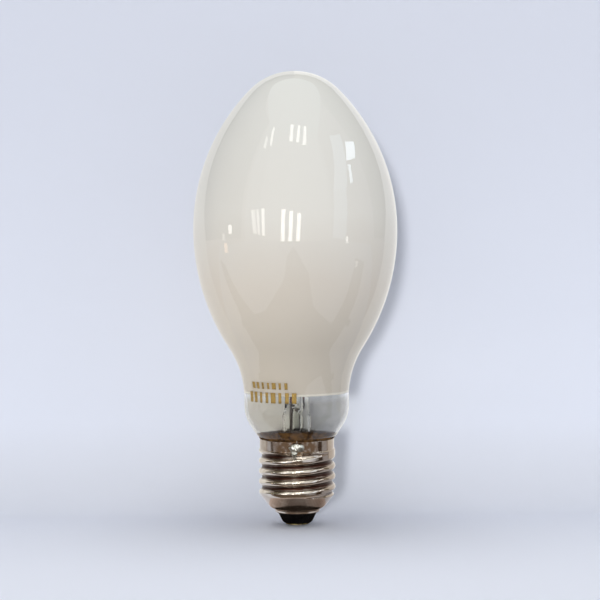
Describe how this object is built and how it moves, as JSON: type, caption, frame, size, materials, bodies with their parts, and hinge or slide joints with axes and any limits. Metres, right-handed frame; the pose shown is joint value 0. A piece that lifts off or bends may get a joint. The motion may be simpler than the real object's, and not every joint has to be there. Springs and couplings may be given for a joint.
{
  "type": "high pressure sodium lamp",
  "caption": "Elliptical discharge lamp with a coated glass bulb, a clear neck and a screw cap; gives warm light when run on ballast gear.",
  "frame": {"origin": "on the lamp's axis at the face of the centre contact's solder button, which is the lowest point", "axes": "+Z along the lamp's axis from the cap to the bulb's crown; the side solder joint on the collar faces -Y"},
  "size_m": [0.07, 0.07, 0.156],
  "materials": {
    "bulb_glass": "clear, fire polished",
    "white_coating": "fine matt powder",
    "stem_glass": "clear, fire polished",
    "lead_wire": "drawn wire, dark from sealing",
    "thin_wire": "drawn wire",
    "frame_wire": "nickel plated wire",
    "spring_strip": "rolled strip",
    "alumina": "translucent sintered",
    "sealing_frit": "fused",
    "niobium": "drawn tube",
    "tungsten": "dull",
    "amalgam": "wet metal",
    "getter_steel": "pressed strip",
    "nickel_plated_cap": "nickel plated brass, slightly yellowed",
    "black_glass": "glossy moulded glass",
    "contact_brass": "stamped plate",
    "solder": "set solder, dull grey",
    "capping_cement": "rough baked cement"
  },
  "bodies": {
    "root": {"outer_bulb": "bulb_glass", "diffuser_coating": "white_coating", "stem": "stem_glass", "frame_lead": "lead_wire", "return_lead": "lead_wire", "centre_wire": "thin_wire", "side_wire": "thin_wire", "frame_rod": "frame_wire", "support_rod": "frame_wire", "dome_spring": "spring_strip", "upper_strap": "spring_strip", "lower_strap": "spring_strip", "arc_tube": "alumina", "upper_end_plug": "alumina", "lower_end_plug": "alumina", "upper_end_seal": "sealing_frit", "lower_end_seal": "sealing_frit", "upper_niobium_tube": "niobium", "lower_niobium_tube": "niobium", "upper_electrode": "tungsten", "lower_electrode": "tungsten", "amalgam_bead": "amalgam", "getter_ring": "getter_steel", "getter_holder": "frame_wire", "cap_shell": "nickel_plated_cap", "insulator": "black_glass", "centre_contact": "contact_brass", "centre_solder": "solder", "side_solder": "solder", "cement_ring": "capping_cement"}
  },
  "joints": []
}
